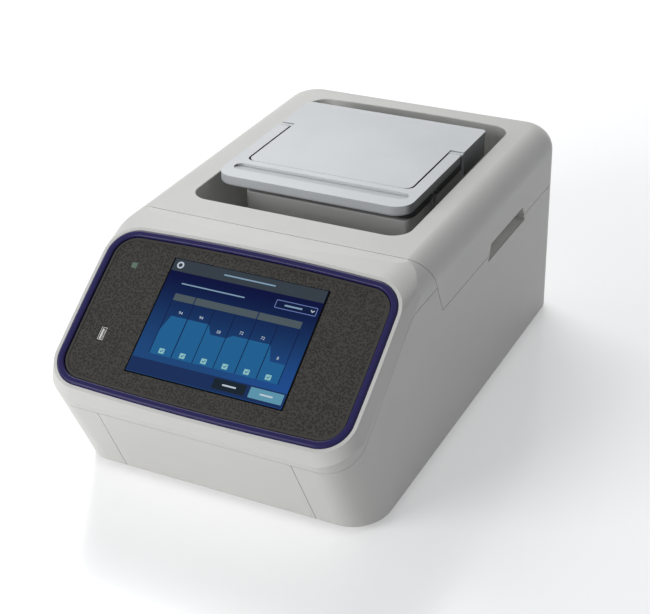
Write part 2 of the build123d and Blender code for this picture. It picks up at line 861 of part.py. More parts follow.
def make_fan_frame(x):
    """Square fan frame with its bore, corner holes, motor spider and bearing."""
    front = -wall - rear_panel_thickness - fan_depth
    rear = front + fan_depth
    body = box_between(x - fan_size / 2, x + fan_size / 2, front, rear, fan_z - fan_size / 2,
                       fan_z + fan_size / 2)
    edges = body.edges().filter_by(Axis.Y)
    body = fillet(edges, 5)
    bore = fan_size / 2 - 2
    body -= rod_y(bore, front - 1, rear + 1, x, fan_z)
    for sx in (1, -1):
        for sz in (1, -1):
            body -= rod_y(2.1, front - 1, rear + 1, x + sx * fan_hole, fan_z + sz * fan_hole)
    body += rod_y(fan_hub_radius - 1, rear - 3, rear, x, fan_z)
    body += rod_y(4.5, rear - 15, rear - 2, x, fan_z)
    spokes = box_between(x - bore - 0.5, x + bore + 0.5, rear - 3, rear, fan_z - 1.5, fan_z + 1.5)
    spokes += box_between(x - 1.5, x + 1.5, rear - 3, rear, fan_z - bore - 0.5, fan_z + bore + 0.5)
    body += spokes
    body -= rod_y(shaft_radius + running_gap, rear - 16, rear - 1.5, x, fan_z)
    return body


def make_fan_rotor(x):
    """Fan rotor: hub cup, shaft and swept blades."""
    front = -wall - rear_panel_thickness - fan_depth
    rear = front + fan_depth
    hub = rod_y(fan_hub_radius, front + 1, rear - 4, x, fan_z)
    hub -= rod_y(fan_hub_radius - 1.6, front + 3, rear, x, fan_z)
    hub += rod_y(shaft_radius, front + 2, rear - 2.5, x, fan_z)
    tip = fan_size / 2 - 2 - fan_tip_gap
    reach = tip - fan_hub_radius + 1
    width = fan_depth - 7
    for i in range(blade_count):
        turn = 360 / blade_count * i
        blade = Pos(fan_hub_radius - 1 + reach / 2, 0, 0) * Rot(38, 0, 0) * Box(reach, width * 1.15, 1.4)
        blade = Rot(0, turn, 0) * blade
        hub += Pos(x, (front + rear - 3) / 2, fan_z) * blade
    hub &= rod_y(tip, front + 1, rear - 2.2, x, fan_z)
    return hub


def rear_plate(low, high):
    """Strip of the rear sheet between two heights, with its screw holes."""
    margin = 5
    half = rear_panel_half + margin
    plate = box_between(-half, half, -wall - rear_panel_thickness, -wall, low, high)
    for x, z in panel_screw_places() + fan_screw_places():
        if low < z < high:
            plate -= rod_y(2.1, -20, 5, x, z)
    return plate


def make_rear_panel():
    """Sheet rear panel with a slotted grille for each fan."""
    plate = rear_plate(socket_plate_high + fit_gap, rear_panel_high + 5)
    slots = Sketch()
    for side in (1, -1):
        count = int((fan_size - 12) / slot_pitch) + 1
        for i in range(count):
            dz = (i - (count - 1) / 2) * slot_pitch
            reach = (fan_size / 2 - 3) ** 2 - dz ** 2
            slots += Pos(side * fan_x, fan_z + dz) * Rectangle(2 * reach ** 0.5, slot_height)
    return plate - extrude(Plane.XZ.offset(wall - 5) * slots, amount=20)


def make_socket_plate():
    """Lower strip of the rear, with the cut-outs for inlet, switch and sockets."""
    plate = rear_plate(rear_panel_low - 5, socket_plate_high)
    openings = [(inlet_x, inlet_width, inlet_height), (switch_x, rocker_width + 4, rocker_height + 2)]
    for x, w, h in openings + port_list():
        plate -= box_between(x - w / 2, x + w / 2, -20, 5, inlet_z - h / 2, inlet_z + h / 2)
    return plate


def port_list():
    """Rear ports as centre X, width and height: network, then two memory stick sockets."""
    return [(port_x - 22, 16.0, 13.5), (port_x + 6, 13.2, 5.8), (port_x + 28, 13.2, 5.8)]


def panel_screw_places():
    """X and Z of the screws of the two rear plates."""
    x = rear_panel_half - 6
    rows = (rear_panel_low + 7, socket_plate_high - 7, socket_plate_high + 9, rear_panel_high - 7)
    return [(sx * x, z) for sx in (1, -1) for z in rows]


def fan_screw_places():
    """X and Z of the fans' screws."""
    return [(side * fan_x + sx * fan_hole, fan_z + sz * fan_hole)
            for side in (1, -1) for sx in (1, -1) for sz in (1, -1)]


def make_rear_screws():
    """Eight screws that hold the rear panel and the socket plate."""
    return [Pos(x, -wall + 1.6, z) * Rot(90, 0, 0) * screw(3.4, 1.6, 2.0, 6) for x, z in panel_screw_places()]


def make_fan_screws():
    """Eight screws that hold the two fans to the rear panel."""
    return [Pos(x, -wall + 1.6, z) * Rot(90, 0, 0) * screw(3.4, 1.6, 2.0, 14) for x, z in fan_screw_places()]


def make_ac_inlet():
    """Mains inlet: flange, body and its shaped socket."""
    flange = box_between(inlet_x - inlet_width / 2 - 3.5, inlet_x + inlet_width / 2 + 3.5, -wall, -wall + 2,
                         inlet_z - inlet_height / 2 - 3, inlet_z + inlet_height / 2 + 3)
    flange = fillet(flange.edges().filter_by(Axis.Y), 2.5)
    g = fit_gap / 2
    body = box_between(inlet_x - inlet_width / 2 + g, inlet_x + inlet_width / 2 - g, -26, -wall + 1,
                       inlet_z - inlet_height / 2 + g, inlet_z + inlet_height / 2 - g)
    mouth = Pos(inlet_x, inlet_z) * Rectangle(24.6, 16.6)
    mouth = chamfer(mouth.vertices().group_by(Axis.Y)[-1], 4.2)
    cavity = extrude(Plane.XZ * mouth, amount=18)
    cavity += extrude(Plane.XZ * mouth, amount=-4)
    inlet = flange + body - cavity
    for pin in make_inlet_pins():
        inlet -= pin
    return inlet


def make_inlet_pins():
    """Three flat pins of the mains inlet."""
    pins = []
    for dx, dz in ((-7, -2), (0, 2), (7, -2)):
        pins.append(Pos(inlet_x + dx, -14.0, inlet_z + dz) * Box(2.0, 18.0, 4.0))
    return pins


def make_switch_frame():
    """Frame of the mains rocker switch."""
    w = rocker_width / 2
    h = rocker_height / 2
    flange = box_between(switch_x - w - 3, switch_x + w + 3, -wall, -wall + 1.6, inlet_z - h - 3,
                         inlet_z + h + 3)
    flange = fillet(flange.edges().filter_by(Axis.Y), 1.5)
    body = box_between(switch_x - w - 1.9, switch_x + w + 1.9, -wall - 16, -wall + 1, inlet_z - h - 0.9,
                       inlet_z + h + 0.9)
    g = 0.4
    pocket = box_between(switch_x - w - g, switch_x + w + g, -wall - 13, 5, inlet_z - h - g,
                         inlet_z + h + g)
    seats = rod_x(trunnion_radius + running_gap, switch_x - w - 1.5, switch_x + w + 1.5, rocker_y, inlet_z)
    return flange + body - pocket - seats


def make_rocker():
    """Rocker of the mains switch, shown pressed at its upper end."""
    h = rocker_height / 2 - 0.6
    profile = make_face(Polyline((2.6, h), (0.6, 0), (2.6, -h), (-3.4, -h + 2.6), (-5.4, 0),
                                 (-3.4, h - 2.6), close=True))
    w = rocker_width / 2 - 0.2
    rocker = extrude(Plane.YZ * profile, amount=w, both=True)
    tilted = Rot(-rocker_swing / 2, 0, 0) * rocker
    reach = rocker_width / 2 + 1.3
    pivot = rod_x(trunnion_radius, switch_x - reach, switch_x + reach, rocker_y, inlet_z)
    return Pos(switch_x, rocker_y, inlet_z) * tilted + pivot


def make_ports():
    """Rear sockets: a network socket and two memory stick sockets."""
    ports = []
    for x, w, h in port_list():
        g = 0.2
        can = box_between(x - w / 2 + g, x + w / 2 - g, -22, -wall + 0.6, inlet_z - h / 2 + g,
                          inlet_z + h / 2 - g)
        deep = 12
        can -= box_between(x - w / 2 + g + 0.8, x + w / 2 - g - 0.8, -deep, 5, inlet_z - h / 2 + g + 0.8,
                           inlet_z + h / 2 - g - 0.8)
        ports.append(can)
    return ports


def make_power_supply():
    """Enclosed power supply on the tray, with slots in its lid."""
    base = wall + sheet
    t = supply_sheet
    top = base + supply_height
    case = box_between(supply_left, supply_right, supply_front_y, supply_rear_y, base, top)
    case -= box_between(supply_left + t, supply_right - t, supply_front_y + t, supply_rear_y - t, base + t,
                        top - t)
    middle = (supply_left + supply_right) / 2
    for i in range(int((supply_length - 17) / 17)):
        case -= Pos(middle, supply_front_y + 16 + i * 17, top) * Box(supply_width - 28, 5, 6)
    return case


def make_supply_core():
    """Transformer and capacitors inside the power supply."""
    base = wall + sheet + supply_sheet
    y = supply_front_y
    core = box_between(supply_left + 3, supply_right - 6, y + 8, supply_rear_y - 10, base, base + 2)
    core += box_between(supply_left + 6, supply_left + 42, y + 36, y + 76, base + 1, base + 28)
    core += box_between(supply_right - 38, supply_right - 16, y + 31, y + 106, base + 1, base + 30)
    for step in (106, 132):
        core += rod_z(11, base + 1, base + 32, supply_left + 20, y + step)
    return core


def make_main_board():
    """Main board on its standoffs, with its larger components."""
    base = wall + sheet
    board = box_between(board_left, board_right, board_front_y, board_rear_y, base + 6, base + 7.6)
    for x in (board_left + 8, board_right - 8):
        for y in (board_front_y + 8, board_rear_y - 8):
            board += rod_z(3, base, base + 6.5, x, y)
    for x, y, w, d, h in ((34, 50, 34, 34, 12), (82, 45, 22, 40, 18), (30, 120, 26, 60, 10),
                          (84, 120, 30, 30, 22)):
        x += board_left
        y += board_front_y
        board += box_between(x - w / 2, x + w / 2, y - d / 2, y + d / 2, base + 7, base + 7.6 + h)
    return board


def make_cover_plate():
    """Silver top plate of the heated cover: narrow between the handle's arms, wide behind."""
    low = cover_top_z - plate_thickness
    narrow = box_between(-plate_half_width, plate_half_width, handle_bar_y + joint_gap, step_y + 1, low,
                         cover_top_z)
    fronts = narrow.edges().filter_by(Axis.Z).group_by(Axis.Y)[0]
    narrow = fillet(fronts, 9)
    wide = box_between(-cover_half_width, cover_half_width, step_y, cover_rear_y, low, cover_top_z)
    rears = wide.edges().filter_by(Axis.Z).group_by(Axis.Y)[-1]
    wide = fillet(rears, 5)
    for side in (1, -1):
        x0, x1 = sorted((side * cover_half_width, side * (cover_half_width - skirt_thickness)))
        wide += box_between(x0, x1, step_y, cover_rear_y - 5, skirt_low_z, cover_top_z - 1)
        x0, x1 = sorted((side * cover_half_width, side * (plate_half_width - 1)))
        wide += box_between(x0, x1, step_y - 0.5 - step_width, step_y - 0.5, low, cover_top_z - step_sink)
        wide += box_between(x0, x1, step_y - 1, step_y + 1, low, low + 1.5)
    plate = narrow + wide
    for side in (1, -1):
        x0, x1 = sorted((side * (plate_half_width - 13), side * (plate_half_width + 1)))
        plate -= rod_x(pivot_pin_radius + running_gap, x0, x1, handle_pivot_y, handle_pivot_z)
    return plate


def make_cover_frame():
    """Inner frame of the heated cover: a tray upside down with the platen's well and knuckles."""
    high = cover_top_z - plate_thickness - frame_drop
    half = frame_half_width
    frame = rounded_block(-half, half, frame_front_y, frame_rear_y, frame_low_z, high, 12)
    frame -= rounded_block(3 - half, half - 3, frame_front_y + 3, frame_rear_y - 3, frame_low_z - 1,
                           high - 3, 9)
    x = platen_length / 2 + platen_gap
    y = platen_depth / 2 + platen_gap
    well = box_between(-x - 3, x + 3, block_y - y - 3, block_y + y + 3, frame_low_z, high - 1)
    frame += well - box_between(-x, x, block_y - y, block_y + y, frame_low_z - 1, high - 3)
    seat_x = plate_half_width - 14
    frame += box_between(-seat_x, seat_x, handle_bar_y + 8, frame_rear_y, high - 1,
                         cover_top_z - plate_thickness)
    frame -= box_between(-seat_x + 3, seat_x - 3, handle_bar_y + 11, frame_rear_y - 3, high,
                         cover_top_z - plate_thickness + 1)
    for side in (1, -1):
        x0, x1 = sorted((side * (seat_x - 1), side * (plate_half_width - 2)))
        boss = box_between(x0, x1, handle_pivot_y - 7, handle_pivot_y + 7, high - 1,
                           cover_top_z - plate_thickness)
        frame += boss
        x0, x1 = sorted((side * (seat_x - 8), side * (plate_half_width + 2)))
        frame -= rod_x(pivot_pin_radius + running_gap, x0, x1, handle_pivot_y, handle_pivot_z)
        x0, x1 = sorted((side * (half - 1), side * (latch_x + latch_thickness / 2 + 1)))
        frame += rod_x(latch_pin_radius, x0, x1, latch_y, latch_z)
        x0, x1 = sorted((side * (hinge_x - 0.5), side * (hinge_x - 0.5 - knuckle_width)))
        arm = box_between(x0, x1, frame_rear_y - 4, hinge_y, hinge_z - knuckle_radius,
                          hinge_z + knuckle_radius)
        arm += rod_x(knuckle_radius, x0, x1, hinge_y, hinge_z)
        frame += arm
        frame -= rod_x(hinge_pin_radius + running_gap, x0 - 1, x1 + 1, hinge_y, hinge_z)
    for px, py in spring_places():
        frame -= rod_z(post_radius + running_gap, frame_low_z, cover_top_z, px, py)
    return frame


def spring_places():
    """X and Y of the platen's posts and springs."""
    return [(sx * spring_x, block_y + sy * spring_dy) for sx in (1, -1) for sy in (1, -1)]


def make_hinge_brackets():
    """Two lugs on the module's deck that carry the cover's hinge pins."""
    lugs = []
    for side in (1, -1):
        x0, x1 = sorted((side * hinge_x, side * (hinge_x + lug_width)))
        lug = side_prism([(hinge_y - 6, module_top_z), (hinge_y + 6, module_top_z),
                          (hinge_y + 6, hinge_z), (hinge_y - 6, hinge_z)], lug_width / 2)
        lug = Pos((x0 + x1) / 2, 0, 0) * lug + rod_x(6, x0, x1, hinge_y, hinge_z)
        foot0, foot1 = sorted((side * hinge_x, side * (hinge_x + lug_width + 8)))
        lug += box_between(foot0, foot1, hinge_y - 6, hinge_y + 6, module_top_z, module_top_z + 2.5)
        lug -= rod_x(hinge_pin_radius + pin_seat, x0 - 1, x1 + 1, hinge_y, hinge_z)
        lugs.append(lug)
    return lugs


def make_hinge_pins():
    """Two hinge pins of the heated cover."""
    pins = []
    for side in (1, -1):
        x0, x1 = sorted((side * (hinge_x - 0.5 - knuckle_width), side * (hinge_x + lug_width + 1)))
        pins.append(rod_x(hinge_pin_radius, x0, x1, hinge_y, hinge_z))
    return pins


def make_handle():
    """U-shaped handle: a front bar with a finger groove, and two arms back to the pivots."""
    low = cover_top_z - handle_thickness
    outline = box_between(-cover_half_width, cover_half_width, cover_tip_y, handle_end_y, low, cover_top_z)
    fronts = outline.edges().filter_by(Axis.Z).group_by(Axis.Y)[0]
    handle = fillet(fronts, cover_corner)
    inner_half = plate_half_width + handle_slot
    inside = box_between(-inner_half, inner_half, handle_bar_y, handle_end_y + 10, low - 1, cover_top_z + 1)
    corners = inside.edges().filter_by(Axis.Z).group_by(Axis.Y)[0]
    handle -= fillet(corners, 8)
    ends = handle.edges().filter_by(Axis.X).group_by(Axis.Y)[-1].group_by(Axis.Z)[0]
    handle = fillet(ends, 5.0)
    under = handle.edges().group_by(Axis.Z)[0].filter_by(lambda e: e.center().Y < handle_bar_y - 20)
    handle = fillet(under, 2.5)
    tilt = radians(groove_tilt)
    floor = Plane(origin=(0, groove_y, cover_top_z - groove_depth / 2), x_dir=(1, 0, 0),
                  z_dir=(0, sin(tilt), cos(tilt)))
    handle -= extrude(floor * SlotOverall(2 * groove_half_length, groove_width), amount=12)
    for side in (1, -1):
        x0, x1 = sorted((side * (inner_half - 1), side * (cover_half_width - 3)))
        handle -= rod_x(pivot_pin_radius + pin_seat, x0, x1, handle_pivot_y, handle_pivot_z)
    return handle


def make_handle_pins():
    """Two pivot pins of the handle."""
    pins = []
    for side in (1, -1):
        x0, x1 = sorted((side * (plate_half_width - 12), side * (cover_half_width - 3)))
        pins.append(rod_x(pivot_pin_radius, x0, x1, handle_pivot_y, handle_pivot_z))
    return pins


def make_latch_hooks():
    """Two latch hooks beside the cover's frame, with their toes just short of the catches."""
    hooks = []
    toe_z = catch_z - catch_radius - 1.2
    toe_y = catch_y - catch_radius - 1.0
    for side in (1, -1):
        outline = [(latch_y - 5, latch_z), (latch_y - 4, toe_z - 4), (toe_y, toe_z - 3.4),
                   (toe_y, toe_z), (latch_y + 2.5, toe_z), (latch_y + 5, latch_z)]
        hook = side_prism(outline, latch_thickness / 2)
        hook += rod_x(5, -latch_thickness / 2, latch_thickness / 2, latch_y, latch_z)
        hook -= rod_x(latch_pin_radius + running_gap, -5, 5, latch_y, latch_z)
        hooks.append(Pos(side * latch_x, 0, 0) * hook)
    return hooks


def make_platen():
    """Heated platen with a raised contact field and four shoulder posts."""
    x = platen_length / 2
    y = platen_depth / 2
    high = platen_low_z + platen_thickness
    platen = box_between(-x, x, block_y - y, block_y + y, platen_low_z + 2, high)
    platen += box_between(-x + 3, x - 3, block_y - y + 3, block_y + y - 3, platen_low_z, platen_low_z + 3)
    for px, py in spring_places():
        platen -= rod_z(post_radius + pin_seat, high - 5, high + 1, px, py)
    return platen


def make_platen_posts():
    """Four shoulder posts that guide the platen in the frame."""
    frame_top = cover_top_z - plate_thickness - frame_drop
    high = platen_low_z + platen_thickness
    return [rod_z(post_radius, high - 5, frame_top + 1.6, px, py)
            + rod_z(post_radius + 1.6, frame_top, frame_top + 1.6, px, py) for px, py in spring_places()]


def make_platen_heater():
    """Heater mat on top of the platen."""
    high = platen_low_z + platen_thickness
    mat = box_between(-platen_length / 2 + 4, platen_length / 2 - 4, block_y - platen_depth / 2 + 4,
                      block_y + platen_depth / 2 - 4, high, high + 1.0)
    for px, py in spring_places():
        mat -= rod_z(spring_radius + spring_wire + 1, high - 1, high + 3, px, py)
    return mat


def make_platen_springs():
    """Four compression springs between platen and frame."""
    low = platen_low_z + platen_thickness + spring_wire / 2
    high = cover_top_z - plate_thickness - frame_drop - 3 - spring_wire / 2
    pitch = (high - low) / spring_turns
    coil = Helix(pitch=pitch, height=high - low, radius=spring_radius)
    start = Plane(coil @ 0, x_dir=(0, 0, 1), z_dir=coil % 0)
    wire = sweep(start * RegularPolygon(spring_wire / 2, 4), path=coil)
    return [Pos(px, py, low) * wire for px, py in spring_places()]


def group(solids):
    """Several like solids as one node."""
    return Compound(children=[Part(solid.wrapped) if not isinstance(solid, Part) else solid
                              for solid in solids])


nodes = {
    "top_cover": make_top_cover,
    "lower_housing": make_lower_housing,
    "front_bezel": make_bezel,
    "bezel_ring": make_ring,
    "control_panel": make_control_panel,
    "display_glass": make_glass,
    "display_module": make_display,
    "display_bracket": make_bracket,
    "panel_screws": make_panel_screws,
    "control_board": make_control_board,
    "status_light": make_status_light,
    "usb_shell": make_usb_shell,
    "usb_tongue": make_usb_tongue,
    "usb_carrier": make_usb_carrier,
    "front_access_panel": make_access_panel,
    "filter_frame": make_filter_frame,
    "air_filter": make_filter,
    "rubber_feet": make_feet,
    "chassis_tray": make_chassis,
    "module_deck": make_deck,
    "module_housing": make_module_housing,
    "heat_sink": make_heat_sink,
    "module_screws": make_module_screws,
    "peltier_modules": make_peltiers,
    "sample_block": make_sample_block,
    "block_seal": make_block_seal,
    "module_connector": make_module_plug,
    "air_duct": make_duct,
    "rear_panel": make_rear_panel,
    "socket_plate": make_socket_plate,
    "rear_screws": make_rear_screws,
    "fan_screws": make_fan_screws,
    "ac_inlet": make_ac_inlet,
    "inlet_pins": make_inlet_pins,
    "switch_frame": make_switch_frame,
    "power_rocker": make_rocker,
    "rear_ports": make_ports,
    "power_supply": make_power_supply,
    "supply_core": make_supply_core,
    "main_board": make_main_board,
    "cover_plate": make_cover_plate,
    "cover_frame": make_cover_frame,
    "hinge_brackets": make_hinge_brackets,
    "hinge_pins": make_hinge_pins,
    "cover_handle": make_handle,
    "handle_pins": make_handle_pins,
    "latch_hooks": make_latch_hooks,
    "heated_platen": make_platen,
    "platen_posts": make_platen_posts,
    "platen_heater": make_platen_heater,
    "platen_springs": make_platen_springs,
}
for side_name, fan_side in (("left", -1), ("right", 1)):
    nodes[f"fan_frame_{side_name}"] = lambda x=fan_side * fan_x: make_fan_frame(x)
    nodes[f"fan_rotor_{side_name}"] = lambda x=fan_side * fan_x: make_fan_rotor(x)

os.makedirs("parts", exist_ok=True)
middle_y = (outer.bounding_box().min.Y + outer.bounding_box().max.Y) / 2
for name, make in nodes.items():
    shape = make()
    if isinstance(shape, list):
        shape = group(shape)
    export_step(Pos(0, -middle_y, foot_height) * shape, f"parts/{name}.step")
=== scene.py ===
"""Dresses a bench thermal cycler: finishes for its moulded, painted and metal pieces, the picture on its
lit touch screen, its wound platen springs, and the studio that it stands in."""
import json
import math

import bmesh
import bpy
from bpy.props import FloatProperty, FloatVectorProperty, PointerProperty
from mathutils import Matrix, Vector


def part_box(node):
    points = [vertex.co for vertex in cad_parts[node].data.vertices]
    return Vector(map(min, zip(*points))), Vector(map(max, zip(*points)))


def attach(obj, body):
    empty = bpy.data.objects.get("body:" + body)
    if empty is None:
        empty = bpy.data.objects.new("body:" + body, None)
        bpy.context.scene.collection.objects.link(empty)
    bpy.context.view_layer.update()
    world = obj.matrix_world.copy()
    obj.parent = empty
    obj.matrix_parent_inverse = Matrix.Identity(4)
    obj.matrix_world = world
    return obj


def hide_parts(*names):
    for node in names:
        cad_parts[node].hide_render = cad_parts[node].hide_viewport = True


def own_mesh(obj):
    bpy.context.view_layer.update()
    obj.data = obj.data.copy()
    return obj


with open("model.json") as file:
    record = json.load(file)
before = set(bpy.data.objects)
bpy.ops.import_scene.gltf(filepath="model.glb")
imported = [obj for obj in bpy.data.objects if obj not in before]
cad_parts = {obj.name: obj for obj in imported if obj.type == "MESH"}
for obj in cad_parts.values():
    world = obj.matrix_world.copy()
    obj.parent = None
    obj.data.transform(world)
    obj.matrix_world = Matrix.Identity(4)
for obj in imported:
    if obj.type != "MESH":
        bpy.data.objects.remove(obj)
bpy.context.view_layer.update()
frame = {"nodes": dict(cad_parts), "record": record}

bl_info = {
    "name": "Thermal cycler dressing",
    "version": (1, 0, 0),
    "blender": (4, 5, 0),
    "location": "3D View > Sidebar > Cycler",
    "description": "Finishes and fine pieces for a bench thermal cycler",
    "category": "Object",
}

MM = 0.001
NODES = frame["nodes"]

# Sockets of the Mix node for colours: share, first colour and second colour, then the result
MIX_INPUTS = (0, 6, 7)
MIX_OUTPUT = 2

# Depth of the control panel's field below its raised rim
FIELD_DEPTH = 0.001

# Facets of a spring's turn and of its wire, and the angle up to which a spring is shaded smooth
TURN_STEPS = 24
WIRE_SIDES = 10
SPRING_SMOOTH = 40

FLOOR_HALF = 6.0
FLOOR_COLOUR = (0.88, 0.88, 0.885)
FLOOR_GLOW = (0.34, 0.34, 0.34)
WORLD_COLOUR = (0.93, 0.96, 1.0)
WORLD_STRENGTH = 0.27
# Name, place, aim, width and height, power
LAMPS = (
    ("key_back", (-1.1, 1.4, 1.9), (0, 0, 0.1), (1.4, 1.4), 27),
    ("left_soft", (-1.15, -1.95, 0.9), (0, 0, 0.12), (1.3, 1.0), 31),
)

CAMERA_PLACE = (0.61752, -1.204388, 0.85103)
# Yaw, pitch and roll in degrees
CAMERA_TURN = (27.064, 29.313, 1.461)
# Focal length and frame width in pixels, sensor width in millimetres
FOCAL_PIXELS = 1500.75
FRAME_PIXELS = 650
SENSOR_WIDTH = 36


# Sizes and colours that a user would change

class CyclerSizes(bpy.types.PropertyGroup):
    """Sizes of the pieces that are modelled here."""
    panel_tilt: FloatProperty(
        name="Panel tilt", description="Slope of the control panel above level",
        default=math.radians(34.8), subtype="ANGLE")
    lip_y: FloatProperty(
        name="Lip from the middle", description="Distance of the lip in front of the middle",
        default=-0.275978, unit="LENGTH")
    lip_z: FloatProperty(
        name="Lip height", description="Height of the lip above the bench",
        default=0.1135, unit="LENGTH")
    glass_sink: FloatProperty(
        name="Glass depth", description="Depth of the touch glass below the lip's plane",
        default=0.0013, unit="LENGTH")
    spring_wire: FloatProperty(
        name="Spring wire", description="Wire diameter of the platen springs",
        default=0.0009, unit="LENGTH")
    spring_radius: FloatProperty(
        name="Spring radius", description="Radius of the springs to the middle of the wire",
        default=0.004, unit="LENGTH")
    spring_turns: FloatProperty(
        name="Spring turns", description="Turns of each spring", default=3.5)
    print_step: FloatProperty(
        name="Picture thickness", description="Height of one layer of the screen's picture",
        default=0.00002, unit="LENGTH")


class CyclerColours(bpy.types.PropertyGroup):
    """Colours of the finishes, as linear values."""
    shell: FloatVectorProperty(
        name="Housing", description="Warm white moulded plastic", subtype="COLOR",
        default=(0.66, 0.655, 0.63))
    ring: FloatVectorProperty(
        name="Ring", description="Navy bead round the control panel", subtype="COLOR",
        default=(0.014, 0.011, 0.085))
    panel: FloatVectorProperty(
        name="Control panel", description="Dark warm grey of the control panel", subtype="COLOR",
        default=(0.040, 0.038, 0.034))
    silver: FloatVectorProperty(
        name="Heated cover", description="Silver paint of the heated cover", subtype="COLOR",
        default=(0.46, 0.478, 0.495))
    module: FloatVectorProperty(
        name="Block module", description="Grey housing of the block module", subtype="COLOR",
        default=(0.50, 0.50, 0.495))
    screen_low: FloatVectorProperty(
        name="Screen foot", description="Blue at the foot of the screen", subtype="COLOR",
        default=(0.012, 0.060, 0.190))
    screen_high: FloatVectorProperty(
        name="Screen head", description="Navy at the head of the screen", subtype="COLOR",
        default=(0.002, 0.003, 0.040))


def sizes():
    """The scene's sizes."""
    return bpy.context.scene.cycler_sizes


def colours():
    """The scene's colours."""
    return bpy.context.scene.cycler_colours


def panel_axes():
    """Directions up and out of the control panel, and the middle of its lip, in the object's frame."""
    s = sizes()
    up = Vector((0, math.cos(s.panel_tilt), math.sin(s.panel_tilt)))
    out = Vector((0, -math.sin(s.panel_tilt), math.cos(s.panel_tilt)))
    return up, out, Vector((0, s.lip_y, s.lip_z))


def shade(colour, share):
    """A colour made darker or lighter."""
    return tuple(c * share for c in colour)


# Shader maths

class Wire:
    """A shader socket that can be used in a Python sum."""

    def __init__(self, shop, socket):
        self.shop = shop
        self.socket = socket

    def math(self, operation, *others):
        """A Math node on this value and others."""
        return self.shop.node("ShaderNodeMath", {"operation": operation}, self, *others)

    def __add__(self, other):
        return self.math("ADD", other)

    def __sub__(self, other):
        return self.math("SUBTRACT", other)

    def __mul__(self, other):
        return self.math("MULTIPLY", other)

    def __radd__(self, other):
        return self.shop.node("ShaderNodeMath", {"operation": "ADD"}, other, self)

    def __rsub__(self, other):
        return self.shop.node("ShaderNodeMath", {"operation": "SUBTRACT"}, other, self)

    def __rmul__(self, other):
        return self.shop.node("ShaderNodeMath", {"operation": "MULTIPLY"}, other, self)

    def __lt__(self, other):
        return self.math("LESS_THAN", other)

    def ramp(self, low, high):
        """Smooth step of this value, 0 at low and 1 at high."""
        return self.shop.node("ShaderNodeMapRange", {"interpolation_type": "SMOOTHSTEP"}, self, low, high)


class Shop:
    """Makes and joins the nodes of one tree."""

    def __init__(self, tree):
        self.tree = tree
        tree.nodes.clear()

    def feed(self, socket, value):
        """Links a wire to a socket, or writes a value on it."""
        if isinstance(value, Wire):
            self.tree.links.new(value.socket, socket)
        elif socket.type == "RGBA":
            socket.default_value = (*value, 1.0)
        else:
            socket.default_value = value

    def node(self, kind, settings, *values, output=0, **named):
        """Any other node: its settings first, then the values or wires of its sockets."""
        made = self.tree.nodes.new(kind)
        for key, value in settings.items():
            setattr(made, key, value)
        for socket, value in zip(made.inputs, values):
            self.feed(socket, value)
        for key, value in named.items():
            self.feed(made.inputs[key.replace("_", " ")], value)
        return Wire(self, made.outputs[output])

    def mix(self, share, one, two):
        """Colour mix; share 0 gives the first colour."""
        made = self.tree.nodes.new("ShaderNodeMix")
        made.data_type = "RGBA"
        for index, value in zip(MIX_INPUTS, (share, one, two)):
            self.feed(made.inputs[index], value)
        return Wire(self, made.outputs[MIX_OUTPUT])

    def seen_directly(self):
        """1 for camera, glossy and transmission rays, which show the white background."""
        camera, glossy, through = (self.node("ShaderNodeLightPath", {}, output=f"Is {kind} Ray")
                                   for kind in ("Camera", "Glossy", "Transmission"))
        return camera.math("MAXIMUM", glossy).math("MAXIMUM", through)

    def close(self, kind, shader):
        """Ends the tree in an output node."""
        self.tree.links.new(shader.socket, self.tree.nodes.new(kind).inputs[0])


FINISHES = {}


class Finish(Shop):
    """One node material, kept under its name, and the short calls that fill it."""

    def __init__(self, name, **shader):
        self.material = bpy.data.materials.new(name)
        self.material.use_nodes = True
        super().__init__(self.material.node_tree)
        self.shader = self.tree.nodes.new("ShaderNodeBsdfPrincipled")
        self.close("ShaderNodeOutputMaterial", Wire(self, self.shader.outputs[0]))
        self.set(**shader)
        FINISHES[name] = self.material

    def set(self, **values):
        """Values or wires for the shader's own sockets, underscores for the spaces in their names."""
        for key, value in values.items():
            self.feed(self.shader.inputs[key.replace("_", " ")], value)

    def place(self):
        """The surface point in the object's frame, in metres."""
        return self.node("ShaderNodeTexCoord", {}, output="Object")

    def stretched(self, scale):
        """The surface point with each axis scaled."""
        return self.node("ShaderNodeVectorMath", {"operation": "MULTIPLY"}, self.place(), scale)

    def noise(self, scale, detail=2.0, rough=0.5, vector=None):
        """Soft noise over the surface."""
        return self.node("ShaderNodeTexNoise", {}, Vector=vector or self.place(), Scale=scale,
                         Detail=detail, Roughness=rough)

    def cells(self, scale, feature="F1"):
        """Distance to the middle or the edge of small cells."""
        return self.node("ShaderNodeTexVoronoi", {"feature": feature}, Vector=self.place(), Scale=scale)

    def along(self, axis):
        """Distance of the surface point along a direction."""
        return self.node("ShaderNodeVectorMath", {"operation": "DOT_PRODUCT"}, self.place(), axis,
                         output="Value")

    def bump(self, height, strength, distance):
        """Relief in the surface's normal."""
        self.set(Normal=self.node("ShaderNodeBump", {}, Strength=strength, Distance=distance,
                                  Height=height))


def finish_named(name):
    """A finish that has been made; an unknown name is an error."""
    if name not in FINISHES:
        raise RuntimeError(f"no finish is named {name}")
    return FINISHES[name]


def moulded(name, colour, roughness=0.42, grain=1900, depth=0.00004, gloss=0.45):
    """Moulded plastic: fine spark-eroded grain, a slow drift of tone and of gloss."""
    f = Finish(name, Specular_IOR_Level=gloss)
    drift = f.noise(9.0, 3.0).ramp(0.3, 0.7)
    fine = f.noise(grain, 3.0, 0.6)
    f.set(Base_Color=f.mix(drift, shade(colour, 0.97), colour))
    f.set(Roughness=f.noise(42.0, 3.0) * 0.08 + (roughness - 0.04) + fine * 0.04)
    f.bump(fine, 0.35, depth)


